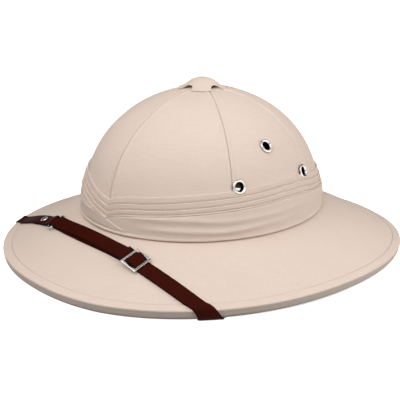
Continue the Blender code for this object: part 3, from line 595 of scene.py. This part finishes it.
def gore(number, first, last, pulls):
    """One cloth panel between two seams. Its edges turn down over the allowance that is folded under it.

    Its columns lie close together beside the seams, where it turns, and further apart between them.
    """
    heights = gore_heights()
    fine = np.linspace(first, last, 240)
    between = 24
    rows, before, after = [], [], []
    for height in heights:
        run = lengths_along(crown_at(fine, height, 0))
        width = run[-1]
        offsets = np.array(SEAM_OFFSETS) * min(1, width / 14)  # closer where the panel is narrow
        middle = np.linspace(offsets[-1], width - offsets[-1], between)[1:-1]
        distances = np.concatenate((offsets, middle, width - offsets[::-1]))
        rows.append(np.interp(distances, run, fine))
        before.append(distances)
        after.append(width - distances)
    degrees, before, after = np.array(rows), np.array(before), np.array(after)
    bare = crown_at(degrees, heights[:, None], 0)
    up = lengths_along(bare[:, 20])[:, None]
    lift = np.zeros_like(degrees)
    for distance, lag, pull in ((before, 0.0, pulls[0]), (after, 0.5, pulls[1])):
        lift -= SEAM_TURN * pull * np.exp(-(distance - SEAM_OFFSETS[0]) / (SEAM_TURN_WIDTH * pull))
        ridge = step_up(distance - RIDGE_START, 0.12) * step_up(SEAM_ALLOWANCE - distance, 0.22)
        lift += SEAM_RIDGE * pull * ridge
        wave = 0.5 + 0.5 * np.cos(2 * math.pi * (up / STITCH_PITCH + lag + distance / 4.0))
        lift -= PUCKER * wave * bell(distance - PUCKER_OFFSET, PUCKER_HALF_WIDTH)
    lift += unevenness(bare, "crown", number) * step_up(np.minimum(before, after) - 6, 2)
    points = crown_at(degrees, heights[:, None], lift)
    piece = lay_sheet(f"gore_{number}", points, bolt_place(points))
    for place in eyelet_places().values():
        punch(piece, place, EYELET_HOLE)
    thicken(piece, CLOTH)
    return piece


# ---------------------------------------------------------------- brim


def brim_cloth():
    """The cloth over the top of the brim, one flat-cut ring, so its threads run straight in plan."""
    degrees = np.linspace(-180, 180, 361)
    line = BrimLine(degrees)
    shares = np.concatenate(([1.0, 0.999, 0.996], np.linspace(0.985, 0.0, 42)))
    edge = line.crease - 0.06
    runs = [edge * share + 0.3 * (1 - share) for share in shares]
    lifts = np.zeros(len(shares))
    lifts[:4] = (-0.4, -0.2, -0.14, -0.05)  # its edge dips under the binding
    points = np.array([line.at(run, np.full_like(run, lift)) for run, lift in zip(runs, lifts)])
    points[..., 2] += unevenness(points, "brim", 5.3) * np.sin(math.pi * shares)[:, None]
    turn = math.radians(BRIM_WEFT)
    along, across = (math.cos(turn), math.sin(turn)), (-math.sin(turn), math.cos(turn))
    threads = np.stack((points[..., :2] @ along, points[..., :2] @ across), -1)
    piece = lay_sheet("brim_cloth", points, threads, closed=True)
    thicken(piece, CLOTH)
    return piece


def binding():
    """The strip turned over the rim, from its sewn inner edge to the flat part that the hat rests on."""
    degrees = np.linspace(-180, 180, 481)
    line = BrimLine(degrees)
    rows = [line.at(line.crease + run, np.full_like(degrees, lift)) for run, lift in BINDING_TOP]
    rows += [rim_at(degrees, inset, up) for inset, up in BINDING_TURN]
    points = swollen(np.array(rows)[::-1])
    threads = np.stack(np.meshgrid(lengths_along(points[12]), lengths_along(points[:, 0])), -1)
    piece = lay_sheet("rim_binding", points, threads, closed=True)
    thicken(piece, BINDING_CLOTH)
    return piece


# ---------------------------------------------------------------- pleated band


def band_rows(degrees):
    """The band's outline at each angle, as rows of (height above the crown's base, lift) from the hem up."""
    top = by_angle(BAND_TOP, degrees)
    crossing = by_angle(BAND_CROSSING, degrees)
    over = by_angle(BAND_CROSSING_LIFT, degrees)
    plain = PLEAT_LIFTS[0]
    one = np.ones_like(degrees)
    rows = [(height * one, lift + over * (height < 1.8)) for height, lift in BAND_HEM]
    low_end = 3.3
    lower = np.maximum(crossing - 1.2, low_end + 0.3)
    for share in np.linspace(0, 1, 6):
        rows.append((low_end + (lower - low_end) * share, plain + over * (crossing > low_end)))
    # the end's slanting edge: height from the line, lift, and share of how far the end stands out there
    slant = np.maximum(crossing, 4.4)
    for away, lift, share in ((-0.7, 0.06, 1.0), (-0.3, 0.1, 1.0), (0.0, 0.05, 0.85), (0.18, -0.02, 0.45),
                              (0.12, -0.12, 0.1), (0.5, -0.1, 0.0), (1.0, 0.0, 0.0)):
        rows.append((slant + away, plain + (lift + over * share) * (crossing > low_end)))
    foot = slant + 1.2
    head = top - PLEAT_DROPS[0] - 1.4
    for share in np.linspace(0, 1, 16)[1:]:
        rows.append((foot + (head - foot) * share, plain * one))
    for k, (drop, low, high) in enumerate(zip(PLEAT_DROPS, PLEAT_LIFTS, PLEAT_LIFTS[1:])):
        edge = top - drop + 0.16 * np.sin(np.radians(degrees * (3 + 2 * k) + 50 * k))
        below = -PLEAT_OVERHANG if k == 0 else 0.04
        # height from the fold's edge, and lift, turning from the lower face to the upper one
        lip = ((-0.95, low + below), (-0.55, low + 0.14 + below / 4), (-0.15, low + 0.2), (0.12, low),
               (0.18, low - 0.25), (0.1, high - 0.2), (0.28, high - 0.75), (0.7, high - 0.45),
               (1.3, high - 0.02))
        rows += [(edge + away, lift * one) for away, lift in lip]
        face_low = edge + 1.3
        face_high = top - (*PLEAT_DROPS, 0.0)[k + 1] - 0.9
        for share in (0.35, 0.6, 0.8):
            rows.append((face_low + (face_high - face_low) * share, (high + 0.06) * one))
    last = PLEAT_LIFTS[-1]
    top_turn = ((-0.5, last + 0.16), (-0.15, last + 0.1), (0.08, last - 0.2), (0.12, last - 0.6), (0.1, 0.2),
                (0.0, -0.25))
    rows += [(top + away, lift * one) for away, lift in top_turn]
    return np.array([row[0] for row in rows]), np.array([row[1] for row in rows])


def pleated_band():
    """The band round the foot of the crown: three pleats above a plain part that hangs in soft folds."""
    degrees = np.linspace(-180, 180, 541)
    heights, lifts = band_rows(degrees)
    plain_top = by_angle(BAND_TOP, degrees) - PLEAT_DROPS[0] - 0.9
    plain_part = step_up(plain_top - heights, 0.5) * step_up(heights - 3.0, 0.5)
    for crest, out, half_width in DRAPES:
        lifts += by_angle(out, degrees) * plain_part * bell(heights - by_angle(crest, degrees), half_width)
    bare = crown_at(degrees, heights, BAND_GAP)
    lifts += unevenness(bare, "band", 9.1) * step_up(heights - 3.0, 0.8)
    gathered = step_up(heights - 3.5, 0.8) * bell(degrees - BAND_GATHERED_AT, 16)
    lifts += unevenness(bare, "gathers", 3.7) * gathered
    points = crown_at(degrees, heights, BAND_GAP + lifts)
    around = lengths_along(points[20])
    threads = np.stack((np.broadcast_to(around, heights.shape), heights), -1)
    piece = lay_sheet("pleated_band", points, threads, closed=True)
    for name, place in eyelet_places().items():
        if not name.endswith("top"):
            punch(piece, place, EYELET_FLANGE + 0.2)
    thicken(piece, BAND_CLOTH)
    return piece


# ---------------------------------------------------------------- vent cap and eyelets

CAP_OUTLINE = (  # radius and height above the crown's base, outer face
    (0.0, 109.8), (2.6, 109.7), (5.1, 109.2), (7.7, 108.35), (10.2, 107.1), (12.6, 105.5), (14.8, 103.7),
    (16.9, 102.4), (18.7, 101.75), (20.0, 101.3), (20.3, 100.85),
)
CAP_WALL = 1.8
CAP_ARCH_RADIUS = 8.0
CAP_ARCH_Z = 96.3
CAP_LEAN = (-1.3, -1.4, -0.7)  # sewn on a little off the middle


def vent_cap():
    """The cloth-covered button over the hole at the top, on four feet with arched openings between them."""
    outer = list(CAP_OUTLINE)
    inner = []
    for before, here, after in zip(outer[:-2], outer[1:-1], outer[2:]):
        run = Vector(after) - Vector(before)
        run.normalize()
        inner.append((max(here[0] + run.y * CAP_WALL, 0.3), here[1] - run.x * CAP_WALL))
    inner = [(0.0, outer[0][1] - CAP_WALL)] + inner[:-1] + [(outer[-1][0] - CAP_WALL, outer[-1][1])]
    lean = Matrix.Translation(CAP_LEAN)
    seat = Matrix.Diagonal((MM, MM, MM, 1)) @ CROWN_SEAT @ lean @ Matrix.Diagonal((1 / MM, 1 / MM, 1 / MM, 1))
    piece = spun("cap", outer + inner[::-1], 96, seat)
    for axis in "XY":
        level = seat @ Matrix.Translation((0, 0, CAP_ARCH_Z * MM)) @ Matrix.Rotation(math.pi / 2, 4, axis)
        cut(piece, rod("arch", level, CAP_ARCH_RADIUS, length=80))
    round_edges(piece, 0.35)
    return piece


EYELET_ANGLE = 87.0
EYELET_SPREAD = 20.3
EYELET_LOW = 39.0
EYELET_HIGH = 64.0
EYELET_OVER_BAND = 0.6
EYELET_HOLE = 4.2
EYELET_FLANGE = 5.7
EYELET_OUTLINE = (  # radius and height above the cloth: barrel, then the rolled flange
    (3.3, -4.6), (3.9, -4.6), (3.9, 0.2), (5.2, 0.2), (5.5, 0.3), (5.66, 0.5), (5.7, 0.75), (5.62, 1.05),
    (5.42, 1.32), (5.1, 1.52), (4.75, 1.62), (4.4, 1.58), (4.05, 1.4), (3.75, 1.1), (3.52, 0.7), (3.38, 0.2),
    (3.3, -0.4),
)


def eyelet(name, place):
    """A rolled eyelet, with painted shade inside its barrel and where its flange meets the cloth."""
    piece = spun(name, EYELET_OUTLINE, 64, place)
    inverse = place.inverted()
    # painted shade: full inside the barrel, where the hole is in shade, and strong round the flange's foot,
    # as a contact shadow on the cloth
    in_barrel, near_cloth = 3.5, 0.6
    dark = []
    for vertex in piece.data.vertices:
        at = inverse @ vertex.co / MM
        dark.append(1.0 if at.xy.length < in_barrel else 0.8 if at.z < near_cloth else 0.0)
    piece.data.attributes.new("painted_shade", "FLOAT", "POINT").data.foreach_set("value", dark)
    return piece


def eyelet_places():
    """Places on the crown's cloth, with Z outwards."""
    spots = (("front", -EYELET_SPREAD, EYELET_LOW, EYELET_OVER_BAND), ("top", 0, EYELET_HIGH, 0.0),
             ("back", EYELET_SPREAD, EYELET_LOW, EYELET_OVER_BAND))
    places = {}
    for side, sign in (("left", 1), ("right", -1)):
        for spot, away, height, lift in spots:
            angle = sign * (EYELET_ANGLE + away)
            here = Vector(crown_at(angle, height, 0))
            along = (Vector(crown_at(angle + 0.1, height, 0)) - here).normalized()
            up = Vector(crown_at(angle, height + 0.1, 0)) - here
            out = along.cross(up).normalized()
            turn = Matrix((along, out.cross(along), out)).transposed().to_4x4()
            places[f"eyelet_{side}_{spot}"] = Matrix.Translation((here + out * lift) * MM) @ turn
    return places


# ---------------------------------------------------------------- strap and its metal

STRAP_SLIDES = {"strap_long": -1.7, "strap_short": -0.4}  # how far the hidden ends are turned along the rim
SLIDER_LINES_ALONG = (-7.8, -5.9, -0.75, 0.75, 5.9, 7.8)  # end bar, window, bridge, window, end bar
SLIDER_LINES_ACROSS = (-8.6, -6.7, 6.7, 8.6)
SLIDER_THICK = 1.0
RIVET_OUTLINE = (  # radius and height above its foot
    (0.0, 0.0), (1.2, 0.0), (1.2, 2.35), (3.3, 2.35), (3.45, 2.5), (3.35, 2.7), (3.0, 3.0), (2.2, 3.43),
    (1.1, 3.73), (0.0, 3.83),
)


def leather_strap(node, name):
    """A strap with smooth bends and square-cut edges that are slightly rounded."""
    piece = merged_copy(node, name)
    mesh = piece.data
    points = np.zeros((len(mesh.vertices), 3), np.float32)
    mesh.vertices.foreach_get("co", points.ravel())
    points = swollen(points / MM, STRAP_SLIDES[node]) * MM
    mesh.vertices.foreach_set("co", points.astype(np.float32).ravel())
    mesh.update()
    faces_of = {}
    for face in mesh.polygons:
        for key in face.edge_keys:
            faces_of.setdefault(key, []).append(face.normal)
    sharp = []
    on_edge = np.zeros(len(mesh.vertices), np.float32)
    for edge in mesh.edges:
        normals = faces_of[tuple(sorted(edge.vertices))]
        corner = normals[0].angle(normals[-1], 0) > math.radians(60)
        sharp.append(1.0 if corner else 0.0)
        if corner:
            on_edge[list(edge.vertices)] = 1.0
    mesh.attributes.new("across", "FLOAT", "POINT").data.foreach_set("value", on_edge)
    mesh.attributes.new("crease_edge", "FLOAT", "EDGE").data.foreach_set("value", sharp)
    modify(piece, "SUBSURF", levels=2, render_levels=2)
    round_edges(piece, 0.22)
    return piece


def slider():
    """The square slider: a plate with a window on either side of its bridge, filed smooth at every edge."""
    columns, rows = len(SLIDER_LINES_ALONG), len(SLIDER_LINES_ACROSS)
    bpy.ops.mesh.primitive_grid_add(x_subdivisions=columns - 1, y_subdivisions=rows - 1, size=1)
    piece = bpy.context.object
    piece.name = "slider"
    lines = [(x, y) for y in SLIDER_LINES_ACROSS for x in SLIDER_LINES_ALONG]
    for vertex, (x, y) in zip(piece.data.vertices, lines):
        vertex.co = (x * MM, y * MM, 0)
    only(piece)
    bpy.ops.object.mode_set(mode="EDIT")
    bpy.ops.mesh.select_all(action="DESELECT")
    bpy.ops.object.mode_set(mode="OBJECT")
    window = (SLIDER_LINES_ALONG[3] + SLIDER_LINES_ALONG[4]) / 2 * MM
    for face in piece.data.polygons:
        face.select = abs(abs(face.center.x) - window) < 0.5 * MM and abs(face.center.y) < MM
    bpy.ops.object.mode_set(mode="EDIT")
    bpy.ops.mesh.delete(type="FACE")
    bpy.ops.object.mode_set(mode="OBJECT")
    thicken(piece, SLIDER_THICK, offset=0)
    round_edges(piece, 0.32, segments=3)
    piece.data.transform(seat_of("strap_buckle"))
    return piece


# ---------------------------------------------------------------- putting it together

cotton = sand_cotton()
leather = strap_leather()
nickel = nickel_plate()
pith = pressed_pith()

seams = list(SEAMS.items())
seams.append((seams[0][0] + 360, seams[0][1]))  # the last gore ends at the first seam
for number, ((first, first_pull), (last, last_pull)) in enumerate(zip(seams, seams[1:]), start=1):
    panel = gore(number, first, last, (first_pull, last_pull))
    dress(panel, cotton, "sand_cloth", f"crown_gore_{number}", sharp=60)

dress(brim_cloth(), cotton, "sand_cloth", "brim_cover", sharp=60)
dress(binding(), cotton, "sand_cloth", "brim_binding", sharp=60)
dress(pleated_band(), cotton, "sand_cloth", "puggaree", sharp=75)
dress(vent_cap(), cotton, "sand_cloth", "vent_cap", sharp=40)

for name, place in eyelet_places().items():
    dress(eyelet(name.replace("eyelet", "rolled_eyelet"), place), nickel, "nickel", name)

dress(leather_strap("strap_long", "chin_strap_long"), leather, "strap_leather", "strap_long", sharp=50)
dress(leather_strap("strap_short", "chin_strap_short"), leather, "strap_leather", "strap_short", sharp=50)
dress(slider(), nickel, "nickel", "strap_buckle", sharp=30)
rivet = spun("rivet", RIVET_OUTLINE, 48, seat_of("strap_rivet", height=0))
dress(rivet, nickel, "nickel", "strap_rivet", sharp=40)
ring = merged_copy("strap_ring", "wire_ring")
modify(ring, "SUBSURF", levels=2, render_levels=2)
dress(ring, nickel, "nickel", "strap_ring")

for node, finish in (("shell", pith), ("strap_pin_left", nickel), ("strap_pin_right", nickel)):
    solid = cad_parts[node]
    solid.data.materials.clear()
    solid.data.materials.append(finish)

# ---------------------------------------------------------------- floor, light and camera


def pale_floor():
    """A plain white studio floor that glows evenly white by its own emission and fills the view behind the
    hat; the glow is left out under the hat, as painted shade.
    """
    bpy.ops.mesh.primitive_plane_add(size=400, location=(0, 0, 0))
    floor = bpy.context.object
    floor.name = "studio_floor"
    made, tree, shader = new_material("white_paper_floor", {
        "Base Color": linear("#F7F7F7"), "Roughness": 0.9, "Emission Color": linear("#FFFFFF"),
    })
    place = add_node(tree, "ShaderNodeTexCoord").outputs["Object"]
    outline_scale = (1 / (RIM_HALF_WIDTH * MM), 1 / (RIM_HALF_LENGTH * MM), 0)
    in_outline = add_node(tree, "ShaderNodeMapping", {"Scale": outline_scale}, {"Vector": place})
    distance = add_node(tree, "ShaderNodeVectorMath", {"operation": "LENGTH"},
                        {0: in_outline.outputs["Vector"]})
    # painted shade: no glow within the brim's outline, so the floor is dark under the hat
    glow = add_node(tree, "ShaderNodeMapRange", {"From Min": 0.90, "From Max": 0.98, "To Max": 0.97},
                    {"Value": distance.outputs["Value"]})
    tree.links.new(glow.outputs["Result"], shader.inputs["Emission Strength"])
    floor.data.materials.append(made)
    floor.visible_diffuse = False


SOFTBOX_SIZE = 0.7
HAT_MIDDLE = (0, 0, 0.08)


def towards(azimuth, elevation):
    """The way from the hat towards an azimuth and an elevation, in radians."""
    level = math.cos(elevation)
    return Vector((math.sin(azimuth) * level, -math.cos(azimuth) * level, math.sin(elevation)))


def softbox(name, direction, distance, power):
    """A square soft light at a distance from the hat, in a direction given as azimuth and elevation."""
    away = towards(*(math.radians(angle) for angle in direction))
    data = bpy.data.lights.new(name, "AREA")
    data.shape = "SQUARE"
    data.size = SOFTBOX_SIZE
    data.energy = power
    light = bpy.data.objects.new(name, data)
    light.location = away * distance + Vector(HAT_MIDDLE)
    light.rotation_mode = "QUATERNION"
    light.rotation_quaternion = away.to_track_quat("Z", "Y")
    bpy.context.scene.collection.objects.link(light)


def room_light():
    """Even light from the white room: its pale walls low down, and dimmer above."""
    world = bpy.data.worlds.new("white_room")
    bpy.context.scene.world = world
    world.use_nodes = True
    tree = world.node_tree
    direction = add_node(tree, "ShaderNodeTexCoord").outputs["Generated"]
    up = add_node(tree, "ShaderNodeSeparateXYZ", links={"Vector": direction}).outputs["Z"]
    share = add_node(tree, "ShaderNodeMapRange",
                     {"From Min": -0.35, "From Max": 0.75, "To Min": 0.04, "To Max": 0.12}, {"Value": up})
    from_level = add_node(tree, "ShaderNodeMath", {"operation": "ABSOLUTE"}, {0: up}).outputs["Value"]
    walls = add_node(tree, "ShaderNodeMapRange",
                     {"From Min": 0.04, "From Max": 0.07, "To Min": 0.95, "To Max": 0.0},
                     {"Value": from_level})
    strength = add_node(tree, "ShaderNodeMath", {"operation": "MAXIMUM"},
                        {0: share.outputs["Result"], 1: walls.outputs["Result"]})
    tree.links.new(strength.outputs["Value"], tree.nodes["Background"].inputs["Strength"])
    tree.nodes["Background"].inputs["Color"].default_value = linear("#FFFFFF")


CAMERA_AZIMUTH = math.radians(47.14)
CAMERA_ELEVATION = math.radians(17.03)
CAMERA_ROLL = math.radians(-1.64)
CAMERA_DISTANCE = 670.9
CAMERA_AIM = (-3.18, -6.2, 37.87)  # sideways of the hat's middle line, the crown's centre, and height
CAMERA_FOCAL_PIXELS = 753.7
IMAGE_PIXELS = 400
SENSOR = 36.0


def camera():
    """The camera at the photograph's angle."""
    right = Vector((math.cos(CAMERA_AZIMUTH), math.sin(CAMERA_AZIMUTH), 0))
    back = towards(CAMERA_AZIMUTH, CAMERA_ELEVATION)
    up = back.cross(right)
    sideways, centre, height = CAMERA_AIM
    turned_right = right * math.cos(CAMERA_ROLL) - up * math.sin(CAMERA_ROLL)
    turned_up = right * math.sin(CAMERA_ROLL) + up * math.cos(CAMERA_ROLL)
    data = bpy.data.cameras.new("camera")
    data.sensor_width = SENSOR
    data.lens = CAMERA_FOCAL_PIXELS * SENSOR / IMAGE_PIXELS
    data.clip_start = 0.05
    made = bpy.data.objects.new("camera", data)
    place = right * sideways + Vector((0, centre, height)) + back * CAMERA_DISTANCE
    turn = Matrix((turned_right, turned_up, back)).transposed().to_4x4()
    made.matrix_world = Matrix.Translation(place * MM) @ turn
    bpy.context.scene.collection.objects.link(made)
    bpy.context.scene.camera = made


pale_floor()
room_light()
softbox("left_softbox", direction=(10, 45), distance=0.55, power=3.15)
softbox("right_softbox", direction=(112, 25), distance=0.55, power=2.5)
softbox("back_softbox", direction=(227, 62), distance=1.2, power=1.7)
camera()
bpy.context.scene.view_settings.view_transform = "Standard"
